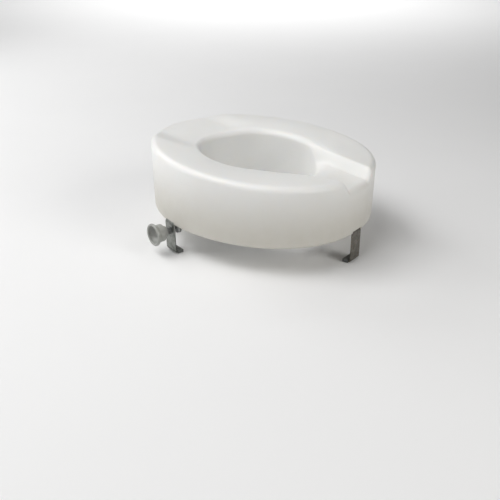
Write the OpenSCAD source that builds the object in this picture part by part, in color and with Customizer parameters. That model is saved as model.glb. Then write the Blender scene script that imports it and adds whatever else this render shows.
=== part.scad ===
// Raised toilet seat: a hollow moulded ring seat held on a toilet pan by three steel hook brackets.
// The two side brackets carry a clamp screw with a knob. Millimetres, +Z up, front of the seat towards -Y.
// The seat stands on the lowest points of its three brackets, which lie at z = 0.

/* [Seat body] */
// Half of the greatest width of the seat
seat_half_w = 185; // [175:1:195]
// Reach of the seat in front of and behind its widest line
seat_half_l = 216; // [205:1:225]
// Height of the top above the underside at the front edge
front_h = 106; // [95:1:130]
// Height of the top above the underside at the rear edge
rear_h = 132; // [100:1:140]
// Thickness of the moulded wall
wall = 4.5; // [4:0.5:5]
// Radius of the outer top edge
outer_edge_r = 11; // [8:1:14]
// Radius of the edge into the opening
inner_edge_r = 13; // [10:1:15]
// Radius of the bottom edge
bottom_edge_r = 7; // [5:1:8]
// How far the top sinks from the outer edge to the opening
top_dish = 4; // [0:1:8]

/* [Opening and recesses] */
// Half width of the opening
open_half_w = 103; // [95:1:108]
// Reach of the opening behind the widest line
open_rear = 112; // [100:1:118]
// Reach of the opening in front of the widest line
open_front = 106; // [95:1:112]
// Depth of the locating skirt below the underside
skirt_h = 14; // [8:1:18]
// Half width of the front channel at the outer edge
channel_half_w = 38; // [32:1:48]
// Radius of the opening's edge where the channel runs into it
channel_lip_r = 27; // [13:1:30]
// How much wider the channel is at each side where it meets the opening
channel_spread = 56; // [46:1:60]
// Depth of the front channel
channel_depth = 19; // [10:1:22]
// Half width of the shallow rear recess
recess_half_w = 82; // [70:1:95]
// Depth of the shallow rear recess
recess_depth = 6; // [0:1:9]

/* [Brackets] */
// Height of the underside above the bottoms of the brackets
drop = 55; // [50:1:62]
// Width of the bracket strip
strip_w = 28; // [24:1:32]
// Thickness of the bracket strip
strip_t = 3; // [2.5:0.5:3]
// Length of the bracket arm under the seat
arm_l = 66; // [64:1:68]
// Length of the hook that turns inward below the pan's rim
hook_l = 16; // [12:1:18]
// Reach of the front bracket from the middle of the seat
front_reach = 214; // [205:1:214]
// Reach of a side bracket from the seat's middle line
side_reach = 177; // [172:1:177]
// How far behind the widest line a side bracket's own line starts on the seat's middle line
side_back = 30; // [20:1:40]
// Direction of a side bracket behind the sideways line, degrees
side_angle = 14; // [8:1:20]

/* [Clamps] */
// Radius of the knob
knob_r = 20.5; // [18:0.5:21]
// Length of the knob
knob_l = 26; // [22:1:28]
// Height of the clamp screw's axis below the underside
screw_drop = 12; // [11:0.5:13]
// Gap between the clamp nut and the knob as shown
knob_gap = 4; // [4:0.5:8]

/* [Hidden] */
$fn = 48;

// Seat body, heights measured from the floor
underside = drop;
wall_lean = 1.5;
front_power = 2.18;
rear_power = 1.93;
skirt_t = 5;
skirt_foot_r = 1.5;
fan_rate = 5.5;
channel_start = -45;
channel_run = 50;
channel_power = 1.5;
channel_bank = 18;
lip_inner_angle = 24;
lip_outer_angle = 62;
recess_start = 70;
recess_run = 60;
recess_bank = 50;
hollow_corner = 3;
vent_r = 3;
vent_back = 50;
plug_sunk = 0.3;
plug_barb_r = 4;
plug_barb_h = 2;
plug_tip_r = 2.5;

// Brackets: the arm lies in a pocket of the underside, above the washers and screw heads
pocket_h = 7.2;
pocket_w = strip_w + 1;
pocket_past = 50;
arm_gap = 0.1;
arm_top = underside + pocket_h - arm_gap;
arm_bottom = arm_top - strip_t;
bend_r = 6;
sleeve_t = 1.2;
sleeve_gap = 0.05;
sleeve_l = 11;
hook_bottom = sleeve_t + sleeve_gap;
slot_w = 5.6;
slot_l = 50;
slot_middle = 35;
slide_play = 10;
screw_pitch = 25;

// Screws, washers and threaded inserts
screw_r = 2.5;
screw_l = 13.5;
head_r = 4.6;
head_h = 3;
head_edge = 1;
socket_d = 3.5;
socket_deep = 1.6;
washer_play = 0.2;
washer_r = 5.6;
washer_t = 1;
insert_r = 4;
insert_l = 12;
boss_r = 9;
boss_h = 19;
pocket_roof = 4.3;

// Clamps, measured outward along the screw from the seat's middle line
axis_z = underside - screw_drop;
stud_r = 4;
stud_play = 0.3;
neck_r = 3;
neck_l = 3.5;
neck_gap = 0.2;
running = 0.05;
foot_r = 9;
foot_t = 5;
foot_flat = 2.5;
foot_nose_r = 6;
foot_socket = 3.6;
foot_pad_t = 4;
pad_edge = 1;
foot_room = 8;
foot_back = side_reach - strip_t - foot_room;
nut_flats = 13;
nut_t = 6.5;
knob_start = side_reach + nut_t + knob_gap;
collar_r = 11;
collar_l = 5;
hub_r = 16;
hub_step = 1.5;
flare_l = 9;
rim_r = 2.2;
rim_side = 2;
dish_depth = 13;
dish_floor_r = 5.2;
cap_r = 4.6;
cap_edge = 0.6;
cap_t = 1.6;
stud_seat = 9;
bore_end = 0.3;

// Clearance of a part pressed into another, and how far a cutting shape runs past a surface
press = 0.02;
cut = 1;

function signed_pow(v, p) = sign(v) * pow(abs(v), p);
function smooth(v) = let (c = min(1, max(0, v))) c * c * (3 - 2 * c);

// The opening's curve angle that goes with the outer outline's angle a: at the front the lines fan out
// from the channel's outer end to its wide inner end, so that they follow its banks
function fan(a) = let (d = a > 90 ? a - 270 : a + 90, e = abs(d)) e >= 90 ? a
    : -90 + sign(d) * 90 * (1 + fan_rate) * e / (90 + fan_rate * e);

// A point of the outer outline and of the opening at the outer outline's curve angle a
function outer_pt(a) = let (p = 2 / (sin(a) < 0 ? front_power : rear_power))
    [seat_half_w * signed_pow(cos(a), p), seat_half_l * signed_pow(sin(a), p)];
function open_l(b) = sin(b) < 0 ? open_front : open_rear;
function inner_pt(a) = let (b = fan(a)) [open_half_w * cos(b), open_l(b) * sin(b)];

// Unit vectors square to the two outlines: inward from the outer one, outward from the opening
function unit(v) = v / norm(v);
function outer_normal(a) = let (step = 0.5, t = unit(outer_pt(a + step) - outer_pt(a - step)))
    [-t[1], t[0]];
function inner_normal(a) = let (b = fan(a)) unit([open_l(b) * cos(b), open_half_w * sin(b)]);

// Radius of the edge into the opening: larger where the front channel runs into it
function lip_r(a) = inner_edge_r + (channel_lip_r - inner_edge_r)
    * smooth((lip_outer_angle - abs(fan(a) + 90)) / (lip_outer_angle - lip_inner_angle));

// Half width of the front channel, wide at the opening
function channel_w(y) = let (k = min(1, max(0, (y + seat_half_l) / (seat_half_l + channel_start))))
    channel_half_w + channel_spread * pow(k, channel_power);

// How far the recesses lower the top at a point
function channel_drop(p) = channel_depth * smooth((channel_start - p[1]) / channel_run)
    * smooth((channel_w(p[1]) + channel_bank / 2 - abs(p[0])) / channel_bank);
function recess_drop(p) = recess_depth * smooth((p[1] - recess_start) / recess_run)
    * smooth((recess_half_w + recess_bank / 2 - abs(p[0])) / recess_bank);

// Height of the top at a point: it falls from the rear to the front
function top_z(p) = underside + front_h + (rear_h - front_h) * (p[1] + seat_half_l) / (2 * seat_half_l)
    - channel_drop(p) - recess_drop(p);

// Points s millimetres in from the outer outline and s millimetres out from the opening
function from_outer(a, s) = outer_pt(a) + s * outer_normal(a);
function from_inner(a, s) = inner_pt(a) + s * inner_normal(a);
function on_top(a, k) = (1 - k) * from_outer(a, outer_edge_r) + k * from_inner(a, lip_r(a));
function with_top(p, lower) = [p[0], p[1], top_z(p) - lower];
function at_height(p, z) = [p[0], p[1], z];

ARC = [0, 22.5, 45, 67.5, 90];
COARSE_ARC = [0, 45, 90];
TOP_STEPS = 6;

// One cross-section of the outer skin at the curve angle a, from the bottom edge over the top to the skirt
function skin_section(a) = let (r = bottom_edge_r, lip = lip_r(a)) concat(
    [for (q = ARC) at_height(from_outer(a, wall_lean + r - r * sin(q)), underside + r - r * cos(q))],
    [for (q = ARC) with_top(from_outer(a, outer_edge_r * (1 - cos(q))), outer_edge_r * (1 - sin(q)))],
    [for (k = [1 : TOP_STEPS - 1]) let (f = k / TOP_STEPS) with_top(on_top(a, f), top_dish * f * f)],
    [for (q = ARC) with_top(from_inner(a, lip * (1 - sin(q))), top_dish + lip * (1 - cos(q)))],
    [at_height(from_inner(a, 0), underside - skirt_h + skirt_foot_r),
        at_height(from_inner(a, skirt_foot_r), underside - skirt_h),
        at_height(from_inner(a, skirt_t - skirt_foot_r), underside - skirt_h),
        at_height(from_inner(a, skirt_t), underside - skirt_h + skirt_foot_r),
        at_height(from_inner(a, skirt_t), underside)]);

// One cross-section of the closed hollow inside the skin
function hollow_section(a) = let (s0 = wall + wall_lean, low = underside + wall, deep = wall + 1,
    lip = lip_r(a), bend = lip - wall) concat(
    [at_height(from_outer(a, s0 + hollow_corner), low),
        at_height(from_outer(a, s0), low + hollow_corner)],
    [with_top(from_outer(a, wall), outer_edge_r + wall / 2), with_top(from_outer(a, outer_edge_r - 1), deep)],
    [for (k = [1 : TOP_STEPS - 1]) let (f = k / TOP_STEPS) with_top(on_top(a, f), top_dish * f * f + deep)],
    [for (q = COARSE_ARC) with_top(from_inner(a, lip - bend * sin(q)), top_dish + deep + bend * (1 - cos(q)))],
    [at_height(from_inner(a, wall), low + hollow_corner),
        at_height(from_inner(a, wall + hollow_corner), low)]);

// A closed ring through cross-sections that all have the same number of points
module ring(sections) {
    m = len(sections);
    n = len(sections[0]);
    points = [for (section = sections) for (p = section) p];
    sides = [for (i = [0 : m - 1]) for (j = [0 : n - 1])
        let (i2 = (i + 1) % m, j2 = (j + 1) % n) [i * n + j, i * n + j2, i2 * n + j2, i2 * n + j]];
    faces = [for (f = sides) for (k = [1, 2]) [f[0], f[k], f[k + 1]]];
    polyhedron(points = points, faces = faces, convexity = 10);
}

// Curve angles, closer together around the front channel
SKIN_ANGLES = concat([for (k = [0 : 47]) -114 + k], [for (k = [0 : 51]) -66 + k * 6]);
HOLLOW_ANGLES = concat([for (k = [0 : 15]) -114 + k * 3], [for (k = [0 : 38]) -66 + k * 8]);

// Places its children at a bracket: local +X points outward from the seat's middle line
module at_bracket(side) {
    turn = side == "front" ? -90 : side == "right" ? 180 - side_angle : side_angle;
    translate([0, side == "front" ? 0 : side_back, 0]) rotate([0, 0, turn]) children();
}

function reach(side) = side == "front" ? front_reach : side_reach;

module at_screws(side) {
    for (k = [-0.5, 0.5]) translate([reach(side) - slot_middle + k * screw_pitch, 0, 0]) children();
}

module at_vent() {
    translate([0, open_rear + vent_back, 0]) children();
}

module pocket(side) {
    start = reach(side) - arm_l - slide_play;
    translate([start, -pocket_w / 2, underside - cut])
        cube([arm_l + slide_play + pocket_past, pocket_w, pocket_h + cut]);
}

module pocket_backing(side) {
    start = reach(side) - arm_l - slide_play - wall;
    translate([start, -pocket_w / 2 - wall, underside])
        cube([arm_l + slide_play + pocket_past, pocket_w + 2 * wall, pocket_h + pocket_roof]);
    at_screws(side) translate([0, 0, underside]) cylinder(r = boss_r, h = pocket_h + boss_h);
}

module seat_body() {
    color("white") difference() {
        ring([for (a = SKIN_ANGLES) skin_section(a)]);
        difference() {
            ring([for (a = HOLLOW_ANGLES) hollow_section(a)]);
            for (side = ["front", "right", "left"]) at_bracket(side) pocket_backing(side);
        }
        for (side = ["front", "right", "left"]) at_bracket(side) {
            pocket(side);
            at_screws(side) cylinder(r = insert_r + press, h = underside + pocket_h + insert_l + bore_end);
        }
        at_vent() cylinder(r = vent_r + press, h = underside + wall + 2 * cut);
    }
}

module vent_plug() {
    color("whitesmoke") at_vent() translate([0, 0, underside + plug_sunk]) union() {
        cylinder(r = vent_r, h = wall + plug_barb_h / 2);
        translate([0, 0, wall + plug_sunk]) cylinder(r1 = plug_barb_r, r2 = plug_tip_r, h = plug_barb_h);
    }
}

// Side view of a bracket strip: arm, bend, leg, bend and hook
module strip_profile(side) {
    x1 = reach(side);
    difference() {
        union() {
            translate([x1 - arm_l, arm_bottom]) square([arm_l - bend_r, strip_t]);
            translate([x1 - bend_r, arm_top - bend_r]) circle(r = bend_r);
            translate([x1 - strip_t, hook_bottom + bend_r])
                square([strip_t, arm_top - hook_bottom - 2 * bend_r]);
            translate([x1 - bend_r, hook_bottom + bend_r]) circle(r = bend_r);
            translate([x1 - hook_l, hook_bottom]) square([hook_l - bend_r, strip_t]);
        }
        translate([x1 - bend_r, arm_top - bend_r]) circle(r = bend_r - strip_t);
        translate([x1 - bend_r, hook_bottom + bend_r]) circle(r = bend_r - strip_t);
        translate([x1 - 2 * bend_r - cut, hook_bottom + strip_t])
            square([2 * bend_r + cut - strip_t, arm_bottom - hook_bottom - strip_t]);
    }
}

module bracket(side) {
    x1 = reach(side);
    color("darkgray") at_bracket(side) difference() {
        rotate([90, 0, 0]) translate([0, 0, -strip_w / 2]) linear_extrude(strip_w) strip_profile(side);
        translate([x1 - slot_middle, 0, arm_bottom - cut]) {
            translate([(slot_w - slot_l) / 2, -slot_w / 2, 0])
                cube([slot_l - slot_w, slot_w, strip_t + 2 * cut]);
            for (k = [-1, 1]) translate([k * (slot_l - slot_w) / 2, 0, 0])
                cylinder(d = slot_w, h = strip_t + 2 * cut);
        }
        if (side != "front") translate([x1 - strip_t - cut, 0, axis_z]) rotate([0, 90, 0])
            cylinder(r = stud_r + stud_play, h = strip_t + 2 * cut);
    }
}

module hook_sleeve(side) {
    x0 = reach(side) - hook_l - sleeve_t;
    gap = sleeve_gap;
    color("dimgray") at_bracket(side) difference() {
        translate([x0, -strip_w / 2 - sleeve_t, 0])
            cube([sleeve_l, strip_w + 2 * sleeve_t, strip_t + 2 * (sleeve_t + gap)]);
        translate([x0 + sleeve_t - gap, -strip_w / 2 - gap, sleeve_t])
            cube([sleeve_l, strip_w + 2 * gap, strip_t + 2 * gap]);
    }
}

module screws(side) {
    head_z = arm_bottom - washer_t - head_h;
    color("silver") at_bracket(side) at_screws(side) difference() {
        union() {
            translate([0, 0, head_z]) cylinder(r1 = head_r - head_edge, r2 = head_r, h = head_edge);
            translate([0, 0, head_z + head_edge]) cylinder(r = head_r, h = head_h - head_edge);
            translate([0, 0, head_z + head_h]) cylinder(r = screw_r, h = screw_l);
        }
        translate([0, 0, head_z - cut]) cylinder(d = socket_d, h = socket_deep + cut, $fn = 6);
    }
}

module washers(side) {
    color("lightgray") at_bracket(side) at_screws(side)
        translate([0, 0, arm_bottom - washer_t]) difference() {
            cylinder(r = washer_r, h = washer_t);
            translate([0, 0, -cut]) cylinder(r = screw_r + washer_play, h = washer_t + 2 * cut);
        }
}

module inserts(side) {
    color("goldenrod") at_bracket(side) at_screws(side)
        translate([0, 0, underside + pocket_h]) difference() {
            cylinder(r = insert_r, h = insert_l);
            translate([0, 0, -cut]) cylinder(r = screw_r + running, h = insert_l + 2 * cut);
        }
}

// Places its children on a clamp's axis: local +Z points outward, height 0 at the seat's middle line
module on_clamp(side) {
    at_bracket(side) translate([0, 0, axis_z]) rotate([0, 90, 0]) children();
}

module clamp_nut(side) {
    color("darkgray") on_clamp(side) translate([0, 0, side_reach]) difference() {
        cylinder(r = nut_flats / 2 / cos(30), h = nut_t, $fn = 6);
        translate([0, 0, -cut]) cylinder(r = stud_r + running, h = nut_t + 2 * cut);
    }
}

module clamp_stud(side) {
    start = foot_back + neck_gap;
    color("silver") on_clamp(side) union() {
        translate([0, 0, start - neck_l]) cylinder(r = neck_r, h = neck_l);
        translate([0, 0, start]) cylinder(r = stud_r, h = knob_start + stud_seat - start);
    }
}

// Half section of the knob: collar, hub, flare, rounded rim and a cup-shaped dish in its outer end
module knob_profile() {
    l = knob_l;
    r = knob_r;
    mouth = r - 2 * rim_r - dish_floor_r;
    polygon(concat(
        [[0, 0], [collar_r, 0], [collar_r, collar_l], [hub_r, collar_l + hub_step],
            [hub_r, l - flare_l], [r, l - rim_r - rim_side], [r, l - rim_r], [r - rim_r, l]],
        [for (t = [0 : 15 : 90])
            [dish_floor_r + mouth * cos(t), l - rim_r - (dish_depth - rim_r) * sin(t)]],
        [[0, l - dish_depth]]));
    translate([r - rim_r, l - rim_r]) circle(r = rim_r);
}

module knob(side) {
    color("white") on_clamp(side) translate([0, 0, knob_start]) difference() {
        rotate_extrude($fn = 96) knob_profile();
        translate([0, 0, -cut]) cylinder(r = stud_r + press, h = cut + stud_seat + bore_end);
    }
}

module knob_cap(side) {
    color("whitesmoke") on_clamp(side) translate([0, 0, knob_start + knob_l - dish_depth + running])
        rotate_extrude() polygon([[0, 0], [cap_r, 0], [cap_r, cap_edge],
            [cap_r - 1, cap_t - cap_edge / 2], [0, cap_t]]);
}

module clamp_foot(side) {
    color("gray") on_clamp(side) translate([0, 0, foot_back - foot_t]) difference() {
        union() {
            cylinder(r = foot_r, h = foot_flat);
            translate([0, 0, foot_flat]) cylinder(r1 = foot_r, r2 = foot_nose_r, h = foot_t - foot_flat);
        }
        translate([0, 0, foot_t - foot_socket]) cylinder(r = neck_r + running, h = foot_t);
    }
}

module foot_pad(side) {
    color("dimgray") on_clamp(side) translate([0, 0, foot_back - foot_t - foot_pad_t]) union() {
        cylinder(r1 = foot_r - pad_edge, r2 = foot_r, h = pad_edge);
        translate([0, 0, pad_edge]) cylinder(r = foot_r, h = foot_pad_t - pad_edge);
    }
}

seat_body();
vent_plug();
bracket("front");  // front_bracket
hook_sleeve("front");  // front_hook_sleeve
screws("front");  // front_screws
washers("front");  // front_washers
inserts("front");  // front_inserts
bracket("right");  // right_bracket
hook_sleeve("right");  // right_hook_sleeve
screws("right");  // right_screws
washers("right");  // right_washers
inserts("right");  // right_inserts
clamp_nut("right");  // right_clamp_nut
clamp_stud("right");  // right_clamp_stud
knob("right");  // right_knob
knob_cap("right");  // right_knob_cap
clamp_foot("right");  // right_clamp_foot
foot_pad("right");  // right_foot_pad
bracket("left");  // left_bracket
hook_sleeve("left");  // left_hook_sleeve
screws("left");  // left_screws
washers("left");  // left_washers
inserts("left");  // left_inserts
clamp_nut("left");  // left_clamp_nut
clamp_stud("left");  // left_clamp_stud
knob("left");  // left_knob
knob_cap("left");  // left_knob_cap
clamp_foot("left");  // left_clamp_foot
foot_pad("left");  // left_foot_pad
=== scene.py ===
import math

import bmesh
import bpy
import numpy as np
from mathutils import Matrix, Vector


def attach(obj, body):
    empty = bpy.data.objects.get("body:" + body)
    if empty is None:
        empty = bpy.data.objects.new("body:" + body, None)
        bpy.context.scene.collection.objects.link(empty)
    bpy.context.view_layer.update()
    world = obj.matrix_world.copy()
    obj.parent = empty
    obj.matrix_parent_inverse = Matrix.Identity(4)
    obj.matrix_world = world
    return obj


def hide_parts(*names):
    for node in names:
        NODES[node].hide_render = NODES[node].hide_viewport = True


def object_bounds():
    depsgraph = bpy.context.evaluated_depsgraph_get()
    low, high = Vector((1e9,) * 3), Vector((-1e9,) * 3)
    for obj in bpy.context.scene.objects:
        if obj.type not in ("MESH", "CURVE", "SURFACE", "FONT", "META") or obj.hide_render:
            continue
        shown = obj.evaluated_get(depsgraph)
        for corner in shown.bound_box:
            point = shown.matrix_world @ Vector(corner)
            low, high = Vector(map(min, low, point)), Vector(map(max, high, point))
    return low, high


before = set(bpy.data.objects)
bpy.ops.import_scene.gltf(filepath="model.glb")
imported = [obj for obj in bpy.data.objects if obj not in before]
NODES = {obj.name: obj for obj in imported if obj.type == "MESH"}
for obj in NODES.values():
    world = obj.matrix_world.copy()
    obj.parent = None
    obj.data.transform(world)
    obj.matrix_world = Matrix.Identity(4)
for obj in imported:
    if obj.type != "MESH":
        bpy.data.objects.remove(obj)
cad_low, cad_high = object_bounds()
MM = 0.001

# Dimensions of the part, in millimetres, as its source has them
HALF_W, HALF_L = 185.0, 216.0
FRONT_H, REAR_H, UNDERSIDE = 106.0, 132.0, 55.0
OUTER_R, INNER_R, BOTTOM_R, DISH = 11.0, 13.0, 7.0, 4.0
OPEN_W, OPEN_REAR, OPEN_FRONT = 103.0, 112.0, 106.0
SKIRT_H, SKIRT_T, SKIRT_FOOT = 14.0, 5.0, 1.5
CHANNEL_W, CHANNEL_SPREAD, CHANNEL_DEPTH = 38.0, 56.0, 19.0
CHANNEL_START, CHANNEL_RUN, CHANNEL_BANK = -45.0, 50.0, 18.0
LIP_R, LIP_INNER, LIP_OUTER = 27.0, 24.0, 62.0
RECESS_W, RECESS_DEPTH, RECESS_START, RECESS_RUN, RECESS_BANK = 82.0, 6.0, 70.0, 60.0, 50.0
WALL_LEAN, FRONT_POWER, REAR_POWER, FAN_RATE = 1.5, 2.18, 1.93, 5.5
POCKET_H, POCKET_W, ARM_L, PLAY = 7.2, 29.0, 66.0, 10.0
STRIP_T, SLOT_MIDDLE, SCREW_PITCH = 3.0, 35.0, 25.0
AXIS_Z, SIDE_REACH, KNOB_START, KNOB_L, KNOB_R = 43.0, 177.0, 187.5, 26.0, 20.5
CHANNEL_POWER, SKIRT_FILLET = 1.5, 1.2
POCKET_PAST, INSERT_R, INSERT_L = 50.0, 4.0, 12.0
VENT_R, VENT_BACK, VENT_DEEP = 3.0, 50.0, 8.0
FOOT_ROOM, FOOT_T, FOOT_R, PAD_T = 8.0, 5.0, 9.0, 4.0
STUD_R, STUD_SEAT, THREAD_PITCH, THREAD_DEEP = 4.0, 9.0, 1.25, 0.62
NECK_R, NECK_L, NUT_T, NUT_FLATS = 3.0, 3.5, 6.5, 13.0
COLLAR_R, COLLAR_L, HUB_R, RIM_R, DISH_DEEP, DISH_FLOOR_R = 11.0, 5.0, 16.0, 2.2, 13.0, 5.2
CAP_R, CAP_T = 4.6, 1.6
FOOT_BACK = SIDE_REACH - STRIP_T - FOOT_ROOM

# Each bracket's direction in degrees, reach, and how far behind the middle its line starts
TURN = {"front": -90.0, "right": 166.0, "left": 14.0}
REACH = {"front": 214.0, "right": 177.0, "left": 177.0}
BACK = {"front": 0.0, "right": 30.0, "left": 30.0}

# How finely the seat is drawn: points on a quarter round, along the walls and over the top
ROUND_STEPS, WALL_STEPS, TOP_STEPS, FOOT_STEPS = 10, 12, 26, 4
# A hair of room round what sits in a bore, and how far a cutting body reaches past a face
ROOM, PAST = 0.02, 1.0


# ---------------------------------------------------------------- the seat's shape
def signed_pow(v, p):
    return np.sign(v) * np.abs(v) ** p


def smooth(v):
    c = np.clip(v, 0.0, 1.0)
    return c * c * (3.0 - 2.0 * c)


def fan(a):
    """The opening's angle for a curve angle: it spreads the sections out round the front channel."""
    d = np.where(a > 90.0, a - 270.0, a + 90.0)
    e = np.abs(d)
    inner = -90.0 + np.sign(d) * 90.0 * (1.0 + FAN_RATE) * e / (90.0 + FAN_RATE * e)
    return np.where(e >= 90.0, a, inner)


def outer_pt(a):
    """The outline at a curve angle: a rounder curve at the rear than at the front."""
    t = np.radians(a)
    p = 2.0 / np.where(np.sin(t) < 0.0, FRONT_POWER, REAR_POWER)
    return np.stack([HALF_W * signed_pow(np.cos(t), p), HALF_L * signed_pow(np.sin(t), p)], -1)


def open_l(b):
    return np.where(np.sin(b) < 0.0, OPEN_FRONT, OPEN_REAR)


def unit(v):
    return v / np.linalg.norm(v, axis=-1, keepdims=True)


def inner_pt(a):
    b = np.radians(fan(a))
    return np.stack([OPEN_W * np.cos(b), open_l(b) * np.sin(b)], -1)


def outer_normal(a):
    t = unit(outer_pt(a + 0.5) - outer_pt(a - 0.5))
    return np.stack([-t[..., 1], t[..., 0]], -1)


def inner_normal(a):
    b = np.radians(fan(a))
    return unit(np.stack([open_l(b) * np.cos(b), OPEN_W * np.sin(b)], -1))


def top_z(p):
    """The height of the top over a place: a slope, less the front channel and the rear recess."""
    x, y = p[..., 0], p[..., 1]
    k = np.clip((y + HALF_L) / (HALF_L + CHANNEL_START), 0.0, 1.0)
    half = CHANNEL_W + CHANNEL_SPREAD * k ** CHANNEL_POWER
    channel = CHANNEL_DEPTH * smooth((CHANNEL_START - y) / CHANNEL_RUN)
    channel = channel * smooth((half + CHANNEL_BANK / 2 - np.abs(x)) / CHANNEL_BANK)
    recess = RECESS_DEPTH * smooth((y - RECESS_START) / RECESS_RUN)
    recess = recess * smooth((RECESS_W + RECESS_BANK / 2 - np.abs(x)) / RECESS_BANK)
    return UNDERSIDE + FRONT_H + (REAR_H - FRONT_H) * (y + HALF_L) / (2 * HALF_L) - channel - recess


def section_points(a):
    """The closed cross-section at the curve angle a: bottom edge, wall, top, opening and skirt."""
    po, no, pi, ni = outer_pt(a), outer_normal(a), inner_pt(a), inner_normal(a)
    off_front = abs(float(fan(np.array(a))) + 90.0)
    lip_r = INNER_R + (LIP_R - INNER_R) * float(smooth((LIP_OUTER - off_front) / (LIP_OUTER - LIP_INNER)))
    skirt_low = UNDERSIDE - SKIRT_H

    def at(p, z):
        return np.array([p[0], p[1], z])

    def top(p, lower):
        return np.array([p[0], p[1], float(top_z(p)) - lower])

    def out(s):
        return po + s * no

    def inn(s):
        return pi + s * ni

    arc = np.radians(np.linspace(0.0, 90.0, ROUND_STEPS + 1))
    pts = [at(out(WALL_LEAN + BOTTOM_R * (1 - math.sin(q))), UNDERSIDE + BOTTOM_R * (1 - math.cos(q)))
           for q in arc]
    crown = [top(out(OUTER_R * (1 - math.cos(q))), OUTER_R * (1 - math.sin(q))) for q in arc]
    foot = pts[-1]
    pts += [foot + (crown[0] - foot) * k / WALL_STEPS for k in range(1, WALL_STEPS)] + crown
    for k in range(1, TOP_STEPS):
        f = k / TOP_STEPS
        pts.append(top((1 - f) * out(OUTER_R) + f * inn(lip_r), DISH * f * f))
    lip = [top(inn(lip_r * (1 - math.sin(q))), DISH + lip_r * (1 - math.cos(q))) for q in arc]
    pts += lip
    low = at(inn(0.0), skirt_low + SKIRT_FOOT)
    pts += [lip[-1] + (low - lip[-1]) * k / WALL_STEPS for k in range(1, WALL_STEPS)]
    small_arc = np.radians(np.linspace(0.0, 90.0, FOOT_STEPS + 1))
    pts += [at(inn(SKIRT_FOOT * (1 - math.cos(q))), skirt_low + SKIRT_FOOT * (1 - math.sin(q)))
            for q in small_arc]
    pts += [at(inn(SKIRT_T - SKIRT_FOOT * (1 - math.sin(q))), skirt_low + SKIRT_FOOT * (1 - math.cos(q)))
            for q in small_arc]
    pts += [at(inn(SKIRT_T + SKIRT_FILLET * (1 - math.cos(q))),
               UNDERSIDE - SKIRT_FILLET * (1 - math.sin(q))) for q in small_arc]
    return np.array(pts)


def mesh_object(name, points, faces):
    """A new object from points and faces, with its faces turned outward."""
    me = bpy.data.meshes.new(name)
    me.from_pydata([tuple(p) for p in points], [], faces)
    me.validate()
    ob = bpy.data.objects.new(name, me)
    bpy.context.scene.collection.objects.link(ob)
    bm = bmesh.new()
    bm.from_mesh(me)
    bmesh.ops.recalc_face_normals(bm, faces=bm.faces)
    bm.to_mesh(me)
    bm.free()
    return ob


def shade(ob, angle=32.0):
    """Smooth shading, with edges over this angle in degrees kept sharp."""
    for p in ob.data.polygons:
        p.use_smooth = True
    ob.data.set_sharp_from_angle(angle=math.radians(angle))
    return ob


def at_bracket(side, x, y, z):
    """A point given outward and sideways along a bracket's line and up, in millimetres, as metres."""
    t = math.radians(TURN[side])
    back = BACK[side]
    return Vector((x * math.cos(t) - y * math.sin(t), back + x * math.sin(t) + y * math.cos(t), z)) * MM


def box_island(side, x0, x1, y0, y1, z0, z1):
    pts = [at_bracket(side, x, y, z) for z in (z0, z1) for y in (y0, y1) for x in (x0, x1)]
    return pts, [(0, 1, 3, 2), (4, 6, 7, 5), (0, 4, 5, 1), (2, 3, 7, 6), (0, 2, 6, 4), (1, 5, 7, 3)]


def tube_island(cx, cy, r, z0, z1, n=48):
    turns = [2 * math.pi * k / n for k in range(n)]
    ring = [(cx + r * math.cos(t), cy + r * math.sin(t)) for t in turns]
    pts = [Vector((x, y, z)) * MM for z in (z0, z1) for x, y in ring]
    faces = [(k, (k + 1) % n, n + (k + 1) % n, n + k) for k in range(n)]
    return pts, faces + [tuple(range(n - 1, -1, -1)), tuple(range(n, 2 * n))]


def cutter(name, islands):
    """One cutting object from separate closed bodies."""
    points, faces = [], []
    for pts, fs in islands:
        base = len(points)
        points += pts
        faces += [tuple(base + i for i in f) for f in fs]
    return mesh_object(name, points, faces)


def screw_place(side, k):
    p = at_bracket(side, REACH[side] - SLOT_MIDDLE + k * SCREW_PITCH, 0.0, 0.0) / MM
    return p.x, p.y


def cut_away(ob, tool):
    """Takes the tool's shape out of the object, and deletes the tool."""
    mod = ob.modifiers.new("cut", "BOOLEAN")
    mod.operation, mod.solver, mod.object = "DIFFERENCE", "EXACT", tool
    made = bpy.data.meshes.new_from_object(ob.evaluated_get(bpy.context.evaluated_depsgraph_get()))
    ob.modifiers.clear()
    old, ob.data = ob.data, made
    bpy.data.meshes.remove(old)
    bpy.data.objects.remove(tool)


def make_seat():
    """The seat's skin: finer sections near the front channel, then the pockets, screw holes and vent hole."""
    angles = np.concatenate([np.arange(-114.0, -66.0, 0.3), np.arange(-66.0, 246.0, 0.975)])
    sections = [section_points(a) for a in angles]
    m, n = len(sections), len(sections[0])
    faces = [(i * n + j, i * n + (j + 1) % n, (i + 1) % m * n + (j + 1) % n, (i + 1) % m * n + j)
             for i in range(m) for j in range(n)]
    points = np.concatenate(sections) * MM
    points[:, 2] = np.minimum(points[:, 2], cad_high[2])
    ob = mesh_object("seat_shell", points, faces)
    pocket_top = UNDERSIDE + POCKET_H
    pockets = [box_island(s, REACH[s] - ARM_L - PLAY, REACH[s] + POCKET_PAST, -POCKET_W / 2, POCKET_W / 2,
                          UNDERSIDE - PAST, pocket_top) for s in TURN]
    cut_away(ob, cutter("pocket_tool", pockets))
    holes = [tube_island(*screw_place(s, k), INSERT_R + ROOM, UNDERSIDE + PAST,
                         pocket_top + INSERT_L + 0.3) for s in TURN for k in (-0.5, 0.5)]
    holes.append(tube_island(0.0, OPEN_REAR + VENT_BACK, VENT_R + ROOM, UNDERSIDE - PAST,
                             UNDERSIDE + VENT_DEEP))
    cut_away(ob, cutter("hole_tool", holes))
    return shade(ob, 38.0)


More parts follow.
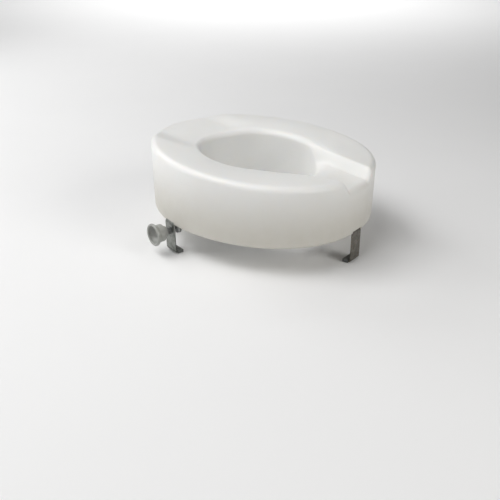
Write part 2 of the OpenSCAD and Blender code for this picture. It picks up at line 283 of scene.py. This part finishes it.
# ---------------------------------------------------------------- small pieces
def refined(name, node, bevel, segments=2, limit=30.0):
    """A copy of a CAD node's mesh with its sharp edges rounded."""
    me = NODES[node].data.copy()
    me.name = name
    me.materials.clear()
    bm = bmesh.new()
    bm.from_mesh(me)
    bmesh.ops.remove_doubles(bm, verts=bm.verts, dist=2e-6)
    bmesh.ops.dissolve_limit(bm, angle_limit=math.radians(0.6), verts=bm.verts, edges=bm.edges)
    sharp = [e for e in bm.edges if len(e.link_faces) == 2 and e.calc_face_angle(0.0) > math.radians(limit)]
    bmesh.ops.bevel(bm, geom=sharp, offset=bevel * MM, segments=segments, profile=0.5, affect="EDGES",
                    clamp_overlap=True)
    bmesh.ops.recalc_face_normals(bm, faces=bm.faces)
    bm.to_mesh(me)
    bm.free()
    for key in ("custom_normal", "UVMap"):
        found = me.attributes.get(key)
        if found is not None:
            me.attributes.remove(found)
    ob = bpy.data.objects.new(name, me)
    bpy.context.scene.collection.objects.link(ob)
    return shade(ob)


def on_clamp(side, r, u, h):
    """A point at radius r and angle u round a clamp's axis, h outward along it, in metres."""
    t = math.radians(TURN[side])
    out, across = Vector((math.cos(t), math.sin(t), 0.0)), Vector((-math.sin(t), math.cos(t), 0.0))
    start = Vector((0.0, BACK[side], AXIS_Z - r * math.cos(u)))
    return (start + out * h + across * (r * math.sin(u))) * MM


def revolve(name, side, profile, n=96):
    """A closed body turned round a clamp's axis from (radius, height) points that start and end on it."""
    points, rings = [], []
    for r, h in profile:
        if r < 1e-6:
            rings.append([len(points)] * n)
            points.append(on_clamp(side, 0.0, 0.0, h))
            continue
        rings.append(list(range(len(points), len(points) + n)))
        points += [on_clamp(side, r, 2 * math.pi * k / n, h) for k in range(n)]
    faces = []
    for a, b in zip(rings, rings[1:]):
        for k in range(n):
            f = [a[k], a[(k + 1) % n], b[(k + 1) % n], b[k]]
            f = [v for i, v in enumerate(f) if v not in f[:i]]
            if len(f) > 2:
                faces.append(tuple(f))
    return shade(mesh_object(name, points, faces))


def arc_points(cr, ch, r, start, end, n):
    return [(cr + r * math.cos(math.radians(start + (end - start) * k / n)),
             ch + r * math.sin(math.radians(start + (end - start) * k / n))) for k in range(n + 1)]


def make_knob(side):
    """The knob: a collar, a fat hub that flares to a rolled rim, and a bowl in its face."""
    z, r, top = KNOB_START, KNOB_R, KNOB_START + KNOB_L
    mouth = r - 2 * RIM_R - DISH_FLOOR_R
    body = [(0.0, z), (COLLAR_R - 0.6, z), (COLLAR_R - 0.2, z + 0.12), (COLLAR_R, z + 0.5),
            (COLLAR_R, z + COLLAR_L), (COLLAR_R + 0.2, z + COLLAR_L + 0.35)]
    body += [(HUB_R - 0.7, z + 6.2), (HUB_R - 0.2, z + 6.6), (HUB_R, z + 7.2), (HUB_R, z + 15.6)]
    body += [(HUB_R + 0.12, z + 16.6), (HUB_R + 0.5, z + 17.5)]
    body += [(r - 1.2, z + 20.6), (r - 0.4, z + 21.4), (r, z + 22.2)]
    body += arc_points(r - RIM_R, top - RIM_R, RIM_R, 0, 180, 16)
    turns = [math.radians(t) for t in range(5, 91, 5)]
    bowl = [(DISH_FLOOR_R + mouth * math.cos(t), top - RIM_R - (DISH_DEEP - RIM_R) * math.sin(t))
            for t in turns]
    return revolve(f"{side}_knob_cup", side, body + bowl + [(0.0, top - DISH_DEEP)])


def make_knob_cap(side):
    """The low domed cap on the bowl's floor."""
    r, z = CAP_R, KNOB_START + KNOB_L - DISH_DEEP + 0.05
    profile = [(0.0, z), (r - 0.2, z), (r, z + 0.15), (r, z + 0.45), (r - 0.2, z + 0.85)]
    profile += [(r - 0.7, z + 1.15), (2.8, z + 1.4), (1.5, z + CAP_T - 0.05), (0.0, z + CAP_T)]
    return revolve(f"{side}_knob_button", side, profile, 64)


def make_foot_pad(side):
    """The rubber pad: a hollow at its middle, two grooves in its face and a rounded edge."""
    r, z = FOOT_R, FOOT_BACK - FOOT_T - PAD_T
    profile = [(0.0, z + 0.25), (1.2, z + 0.25), (1.6, z)]
    for c in (3.0, 5.4):
        profile += [(c - 0.5, z), (c - 0.3, z + 0.4), (c + 0.3, z + 0.4), (c + 0.5, z)]
    profile += [(r - 1.4, z), (r - 0.8, z + 0.12), (r - 0.25, z + 0.55), (r, z + 1.1)]
    profile += [(r, z + PAD_T - 0.3), (r - 0.3, z + PAD_T), (0.0, z + PAD_T)]
    return revolve(f"{side}_foot_rubber", side, profile, 72)


def make_stud(side):
    """The clamp screw: a plain neck, then a right-hand thread."""
    n, root = 40, STUD_R - 0.8
    start, end = FOOT_BACK + 0.2, KNOB_START + STUD_SEAT
    u = 2 * np.pi * np.arange(n) / n
    heights = np.arange(start, end, THREAD_PITCH / 10)
    points, rings = [], []

    def ring(radii, h):
        rings.append(list(range(len(points), len(points) + n)))
        points.extend(on_clamp(side, float(r), float(v), float(h)) for r, v in zip(radii, u))

    neck_end = start - NECK_L
    for r, h in ((NECK_R - 0.4, neck_end), (NECK_R, neck_end + 0.4), (NECK_R, start - 0.25)):
        ring(np.full(n, r), h)
    for h in heights:
        phase = np.mod(h / THREAD_PITCH - u / (2 * np.pi), 1.0)
        flank = np.clip(np.abs(phase - 0.5) * 2.0 * 1.3 - 0.1, 0.0, 1.0)
        radii = STUD_R - THREAD_DEEP * flank
        ease = min(1.0, (h - start) / 1.2, (end - h) / 1.2 + 0.05)
        ring(np.minimum(radii, root + (STUD_R - root) * ease), h)
    faces = []
    for a, b in zip(rings, rings[1:]):
        faces += [(a[k], a[(k + 1) % n], b[(k + 1) % n], b[k]) for k in range(n)]
    faces += [tuple(rings[0][::-1]), tuple(rings[-1])]
    return shade(mesh_object(f"{side}_clamp_thread", points, faces), 50.0)


def make_nut(side):
    """A hexagon nut with chamfered corners, its threaded bore drawn as fine rings."""
    n, z, t, bore, start = 120, SIDE_REACH, NUT_T, STUD_R + 0.05, 6.05
    points, rings = [], []

    def ring(radius, height):
        rings.append(list(range(len(points), len(points) + n)))
        for k in range(n):
            u = 2 * math.pi * k / n
            hexa = NUT_FLATS / 2 / math.cos(math.radians((math.degrees(u) + 30.0) % 60.0 - 30.0))
            points.append(on_clamp(side, radius(hexa), u, height(hexa)))

    def drop(h):
        return max(0.0, h - start) * math.tan(math.radians(28.0))

    steps = 10
    for k in range(steps + 1):
        h = z + 0.5 + (t - 1.0) * k / steps
        ring(lambda x, k=k: bore + (0.28 if k % 2 else 0.0), lambda x, h=h: h)
    ring(lambda x: bore + 0.5, lambda x: z + t)
    ring(lambda x: start, lambda x: z + t)
    ring(lambda x: (start + x) / 2, lambda x: z + t - drop((start + x) / 2))
    ring(lambda x: x, lambda x: z + t - drop(x))
    ring(lambda x: x, lambda x: z + drop(x))
    ring(lambda x: (start + x) / 2, lambda x: z + drop((start + x) / 2))
    ring(lambda x: start, lambda x: z)
    ring(lambda x: bore + 0.5, lambda x: z)
    faces = [(a[k], a[(k + 1) % n], b[(k + 1) % n], b[k])
             for a, b in zip(rings, rings[1:] + rings[:1]) for k in range(n)]
    return shade(mesh_object(f"{side}_hex_nut", points, faces), 24.0)


# ---------------------------------------------------------------- materials
def material(name):
    m = bpy.data.materials.new(name)
    m.use_nodes = True
    return m, m.node_tree, m.node_tree.nodes["Principled BSDF"]


def add(tree, kind, **values):
    """A new node, with inputs and settings by name."""
    node = tree.nodes.new(kind)
    for key, value in values.items():
        if key in node.inputs:
            node.inputs[key].default_value = value
        else:
            setattr(node, key, value)
    return node


def coords(tree, scale=(1.0, 1.0, 1.0), turn=0.0):
    """Object coordinates in metres, stretched and turned about z."""
    place = add(tree, "ShaderNodeMapping")
    place.inputs["Scale"].default_value = scale
    place.inputs["Rotation"].default_value = (0.0, 0.0, turn)
    tree.links.new(add(tree, "ShaderNodeTexCoord").outputs["Object"], place.inputs["Vector"])
    return place.outputs["Vector"]


def noise(tree, where, scale, detail=3.0, rough=0.5, distort=0.0):
    node = add(tree, "ShaderNodeTexNoise", Scale=scale, Detail=detail, Roughness=rough, Distortion=distort)
    tree.links.new(where, node.inputs["Vector"])
    return node.outputs["Fac"]


def remap(tree, value, low, high, to_low, to_high):
    """A value's range mapped smoothly to another range, held at its ends."""
    node = add(tree, "ShaderNodeMapRange", interpolation_type="SMOOTHSTEP")
    for key, v in (("From Min", low), ("From Max", high), ("To Min", to_low), ("To Max", to_high)):
        node.inputs[key].default_value = v
    tree.links.new(value, node.inputs["Value"])
    return node.outputs["Result"]


def math_node(tree, kind, a, b):
    node = add(tree, "ShaderNodeMath", operation=kind)
    for socket, v in zip(node.inputs, (a, b)):
        if isinstance(v, (int, float)):
            socket.default_value = v
        else:
            tree.links.new(v, socket)
    return node.outputs[0]


def blend_colour(tree, fac, a, b):
    node = add(tree, "ShaderNodeMix", data_type="RGBA")
    tree.links.new(fac, node.inputs[0])
    for socket, v in ((node.inputs[6], a), (node.inputs[7], b)):
        if isinstance(v, tuple):
            socket.default_value = (*v, 1.0)
        else:
            tree.links.new(v, socket)
    return node.outputs[2]


def bumps(tree, shader, layers):
    """Bump layers as (height, strength, distance in metres), each on top of the one before."""
    normal = None
    for height, strength, distance in layers:
        node = add(tree, "ShaderNodeBump", Strength=strength, Distance=distance)
        tree.links.new(height, node.inputs["Height"])
        if normal is not None:
            tree.links.new(normal, node.inputs["Normal"])
        normal = node.outputs["Normal"]
    tree.links.new(normal, shader.inputs["Normal"])


def scratches(tree, scale, width, turn):
    """Fine straight scuffs: thin bands of a stretched noise, broken up by a coarser one."""
    lines = noise(tree, coords(tree, (1.0, 0.035, 0.6), turn), scale, 2.0, 0.6)
    band = remap(tree, math_node(tree, "ABSOLUTE", math_node(tree, "SUBTRACT", lines, 0.5), 0.0),
                 0.0, width, 1.0, 0.0)
    patches = remap(tree, noise(tree, coords(tree), scale / 14, 2.0), 0.52, 0.64, 0.0, 1.0)
    return math_node(tree, "MULTIPLY", band, patches)


def seat_plastic():
    """Milky polyethylene, with painted shade that darkens and warms the foot of its outer wall, and scuffs,
    specks and grain.
    """
    m, t, s = material("milky_polyethylene")
    here = coords(t)
    broad, mottle = noise(t, here, 7.0, 2.0), noise(t, here, 42.0, 4.0, 0.6)
    speck = noise(t, here, 420.0, 2.0)
    broad = remap(t, broad, 0.35, 0.68, 0.0, 1.0)
    white = blend_colour(t, broad, (0.850, 0.850, 0.834), (0.822, 0.822, 0.804))
    # Painted shade: the mask built here darkens the outer wall towards its foot, where the seat's lower side
    # sits in shade.
    split = add(t, "ShaderNodeSeparateXYZ")
    t.links.new(here, split.inputs[0])
    low = remap(t, split.outputs["Z"], 0.172, 0.065, 0.0, 1.0)
    low = math_node(t, "MULTIPLY", low, remap(t, mottle, 0.25, 0.75, 0.93, 1.0))
    across = add(t, "ShaderNodeVectorMath", operation="MULTIPLY")
    t.links.new(here, across.inputs[0])
    across.inputs[1].default_value = (1.0, 1.0, 0.0)
    from_axis = add(t, "ShaderNodeVectorMath", operation="LENGTH")
    t.links.new(across.outputs["Vector"], from_axis.inputs[0])
    low = math_node(t, "MULTIPLY", low, remap(t, from_axis.outputs["Value"], 0.125, 0.160, 0.0, 1.0))
    # The darker warm grey blended in at the foot of the outer wall is painted shade.
    colour = blend_colour(t, low, white, (0.590, 0.570, 0.515))
    scuff = scratches(t, 300.0, 0.012, 0.6)
    colour = blend_colour(t, math_node(t, "MULTIPLY", scuff, 0.22), colour, (0.62, 0.62, 0.60))
    specks = remap(t, speck, 0.70, 0.76, 0.0, 0.25)
    colour = blend_colour(t, specks, colour, (0.60, 0.585, 0.54))
    t.links.new(colour, s.inputs["Base Color"])
    gloss = remap(t, mottle, 0.3, 0.7, 0.34, 0.47)
    t.links.new(math_node(t, "ADD", gloss, math_node(t, "MULTIPLY", scuff, 0.15)), s.inputs["Roughness"])
    s.inputs["Subsurface Weight"].default_value = 0.25
    s.inputs["Subsurface Radius"].default_value = (0.012, 0.010, 0.008)
    s.inputs["Subsurface Scale"].default_value = 1.0
    s.inputs["IOR"].default_value = 1.5
    grain = noise(t, here, 1500.0, 2.0, 0.5)
    peel = noise(t, here, 230.0, 2.0, 0.4)
    bumps(t, s, [(noise(t, here, 16.0, 1.0), 0.12, 0.0012), (peel, 0.18, 0.00012), (grain, 0.22, 0.00004),
                 (math_node(t, "SUBTRACT", 1.0, scuff), 0.10, 0.00005)])
    return m


def knob_plastic(name, colour_a, colour_b):
    """Moulded plastic in a mottled tone, with grime in patches."""
    m, t, s = material(name)
    here = coords(t)
    mottle = noise(t, here, 90.0, 4.0, 0.6)
    grime = remap(t, noise(t, here, 55.0, 5.0, 0.7), 0.56, 0.72, 0.0, 0.35)
    colour = blend_colour(t, mottle, colour_a, colour_b)
    colour = blend_colour(t, grime, colour, (0.50, 0.49, 0.45))
    t.links.new(colour, s.inputs["Base Color"])
    t.links.new(remap(t, mottle, 0.3, 0.7, 0.30, 0.46), s.inputs["Roughness"])
    s.inputs["Subsurface Weight"].default_value = 0.1
    s.inputs["Subsurface Radius"].default_value = (0.004, 0.0035, 0.003)
    s.inputs["Subsurface Scale"].default_value = 1.0
    bumps(t, s, [(noise(t, here, 260.0, 2.0), 0.2, 0.0001), (noise(t, here, 1700.0, 2.0), 0.25, 0.00004)])
    return m


def plated(name, light, dark, rough, rust):
    """Zinc plating: patchy tone, fine lines along the strip, dull stains and a few rust specks."""
    m, t, s = material(name)
    here = coords(t)
    patch, fine = noise(t, here, 120.0, 5.0, 0.65), noise(t, here, 900.0, 3.0, 0.6)
    lines = noise(t, coords(t, (0.05, 1.0, 0.05)), 1900.0, 3.0, 0.6)
    colour = blend_colour(t, remap(t, patch, 0.32, 0.68, 0.0, 1.0), light, dark)
    colour = blend_colour(t, remap(t, lines, 0.35, 0.7, 0.0, 0.35), colour, dark)
    spots = noise(t, here, 210.0, 6.0, 0.75, 0.6)
    brown = remap(t, spots, 0.66 - 0.12 * rust, 0.76 - 0.10 * rust, 0.0, 0.8)
    colour = blend_colour(t, brown, colour, (0.16, 0.095, 0.05))
    t.links.new(colour, s.inputs["Base Color"])
    t.links.new(remap(t, brown, 0.0, 0.8, 1.0, 0.25), s.inputs["Metallic"])
    wide = remap(t, fine, 0.3, 0.7, rough - 0.07, rough + 0.08)
    t.links.new(math_node(t, "ADD", wide, math_node(t, "MULTIPLY", brown, 0.3)), s.inputs["Roughness"])
    bumps(t, s, [(patch, 0.2, 0.0001), (lines, 0.25, 0.00003), (fine, 0.3, 0.00004), (brown, 0.3, 0.00008)])
    return m


def brass():
    m, t, s = material("turned_brass")
    here = coords(t)
    tone = noise(t, here, 400.0, 4.0, 0.6)
    t.links.new(blend_colour(t, tone, (0.78, 0.62, 0.30), (0.55, 0.40, 0.18)), s.inputs["Base Color"])
    s.inputs["Metallic"].default_value = 1.0
    t.links.new(remap(t, tone, 0.3, 0.7, 0.28, 0.5), s.inputs["Roughness"])
    bumps(t, s, [(noise(t, coords(t, (1.0, 1.0, 12.0)), 900.0), 0.3, 0.00004)])
    return m


def rubber():
    m, t, s = material("matt_rubber")
    here = coords(t)
    tone, fine = noise(t, here, 160.0, 4.0, 0.6), noise(t, here, 1500.0, 2.0, 0.5)
    dust = remap(t, noise(t, here, 60.0, 4.0, 0.65), 0.5, 0.72, 0.0, 0.5)
    colour = blend_colour(t, tone, (0.13, 0.135, 0.13), (0.20, 0.205, 0.20))
    t.links.new(blend_colour(t, dust, colour, (0.34, 0.335, 0.32)), s.inputs["Base Color"])
    t.links.new(remap(t, tone, 0.3, 0.7, 0.62, 0.82), s.inputs["Roughness"])
    bumps(t, s, [(tone, 0.25, 0.0001), (fine, 0.4, 0.00005)])
    return m


def floor_material():
    m, t, s = material("studio_floor")
    here = coords(t)
    tone = noise(t, here, 3.0, 3.0)
    t.links.new(blend_colour(t, tone, (0.87, 0.87, 0.87), (0.85, 0.85, 0.85)), s.inputs["Base Color"])
    s.inputs["Roughness"].default_value = 0.85
    s.inputs["Specular IOR Level"].default_value = 0.2
    return m


MATERIALS = {
    "seat": seat_plastic(),
    # Painted shade: the knob's white plastic is given a dark grey base colour, standing for the shade it sits
    # in.
    "knob": knob_plastic("moulded_knob_painted_shade", (0.37, 0.375, 0.355), (0.30, 0.305, 0.285)),
    "plug": knob_plastic("moulded_plug", (0.70, 0.70, 0.68), (0.62, 0.62, 0.60)),
    # Painted shade: the front strip's zinc plating gets a far darker, browner base than the screws' plating;
    # its rust specks are its own colour.
    "strip_front": plated("rust_specked_strip_painted_shade", (0.25, 0.24, 0.215), (0.16, 0.15, 0.13), 0.44, 1.0),
    # Painted shade: the side strips' zinc plating gets a darker base than the screws' plating.
    "strip_side": plated("plated_strip_painted_shade", (0.34, 0.35, 0.33), (0.20, 0.21, 0.195), 0.40, 0.35),
    "plated": plated("zinc_plating", (0.62, 0.63, 0.64), (0.46, 0.465, 0.47), 0.34, 0.2),
    "brass": brass(),
    "rubber": rubber(),
}


def piece(ob, body, node, look):
    """Gives a made object its material and the body it rides on, and hides the CAD node that it stands in
    for.
    """
    ob.data.materials.clear()
    ob.data.materials.append(MATERIALS[look])
    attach(ob, body)
    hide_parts(node)
    return ob


piece(make_seat(), "seat", "seat_body", "seat")
piece(refined("vent_stopper", "vent_plug", 0.25), "seat", "vent_plug", "plug")
for side in ("front", "right", "left"):
    bracket = f"{side}_bracket"
    steel = "strip_front" if side == "front" else "strip_side"
    piece(refined(f"{side}_strip", bracket, 0.35, 3), bracket, bracket, steel)
    sleeve, screws = f"{side}_hook_sleeve", f"{side}_screws"
    washers, inserts = f"{side}_washers", f"{side}_inserts"
    piece(refined(f"{side}_hook_boot", sleeve, 0.3, 3), bracket, sleeve, "rubber")
    piece(refined(f"{side}_screw_pair", screws, 0.2), "seat", screws, "plated")
    piece(refined(f"{side}_washer_pair", washers, 0.12), "seat", washers, "plated")
    piece(refined(f"{side}_insert_pair", inserts, 0.2), "seat", inserts, "brass")
for side in ("right", "left"):
    foot, screw = f"{side}_clamp_foot", f"{side}_clamp_screw"
    piece(make_nut(side), f"{side}_bracket", f"{side}_clamp_nut", "plated")
    piece(make_stud(side), screw, f"{side}_clamp_stud", "plated")
    piece(make_knob(side), screw, f"{side}_knob", "knob")
    piece(make_knob_cap(side), screw, f"{side}_knob_cap", "plug")
    piece(refined(f"{side}_foot_cup", foot, 0.3, 3), foot, foot, "plated")
    piece(make_foot_pad(side), foot, f"{side}_foot_pad", "rubber")

# ---------------------------------------------------------------- floor, light and camera
floor_mesh = bpy.data.meshes.new("floor")
floor_mesh.from_pydata([(-9, -9, 0), (9, -9, 0), (9, 9, 0), (-9, 9, 0)], [], [(0, 1, 2, 3)])
floor = bpy.data.objects.new("floor", floor_mesh)
floor.location.z = -0.0004
bpy.context.scene.collection.objects.link(floor)
floor_mesh.materials.append(floor_material())

world = bpy.data.worlds.new("studio")
world.use_nodes = True
world.node_tree.nodes["Background"].inputs["Color"].default_value = (1.0, 1.0, 1.0, 1.0)
world.node_tree.nodes["Background"].inputs["Strength"].default_value = 0.06
bpy.context.scene.world = world


def soft_light(name, place, target, power, size, colour=(1.0, 1.0, 1.0), spread=180.0):
    """A round soft box at a place, aimed at a target, with its beam's width in degrees."""
    data = bpy.data.lights.new(name, "AREA")
    data.shape, data.size, data.energy, data.color = "DISK", size, power, colour
    data.spread = math.radians(spread)
    lamp = bpy.data.objects.new(name, data)
    lamp.location = place
    lamp.rotation_euler = (Vector(target) - Vector(place)).to_track_quat("-Z", "Y").to_euler()
    bpy.context.scene.collection.objects.link(lamp)


def seat_light(name, azimuth, height, power, colour=(1.0, 1.0, 1.0)):
    """A soft box 2.5 m from the seat, by its direction from the seat's middle in degrees."""
    a, e = math.radians(azimuth), math.radians(height)
    away = Vector((math.cos(e) * math.cos(a), math.cos(e) * math.sin(a), math.sin(e))) * 2.5
    middle = Vector((0.0, 0.0, 0.1))
    soft_light(name, away + middle, middle, power, 1.3, colour)


seat_light("left_side", 180.0, 55.0, 19.5)
seat_light("rear_left_high", 135.0, 55.0, 21.5)
seat_light("rear_left", 135.0, 28.0, 11.0)
seat_light("rear", 90.0, 28.0, 12.5)
seat_light("front", 270.0, 28.0, 22.0, (1.0, 0.985, 0.96))
soft_light("far_floor", (3.4, 2.6, 3.5), (3.4, 2.6, 0.0), 75.0, 4.0, spread=95.0)

camera_data = bpy.data.cameras.new("camera")
camera_data.lens, camera_data.sensor_width = 50.594, 36.0
camera_data.clip_start, camera_data.clip_end = 0.01, 50.0
camera = bpy.data.objects.new("camera", camera_data)
camera.location = (-1.00312, -0.74968, 0.56395)
camera.rotation_euler = Vector((0.71354, 0.54905, -0.43521)).to_track_quat("-Z", "Y").to_euler()
bpy.context.scene.collection.objects.link(camera)
bpy.context.scene.camera = camera
bpy.context.scene.view_settings.view_transform = "Standard"
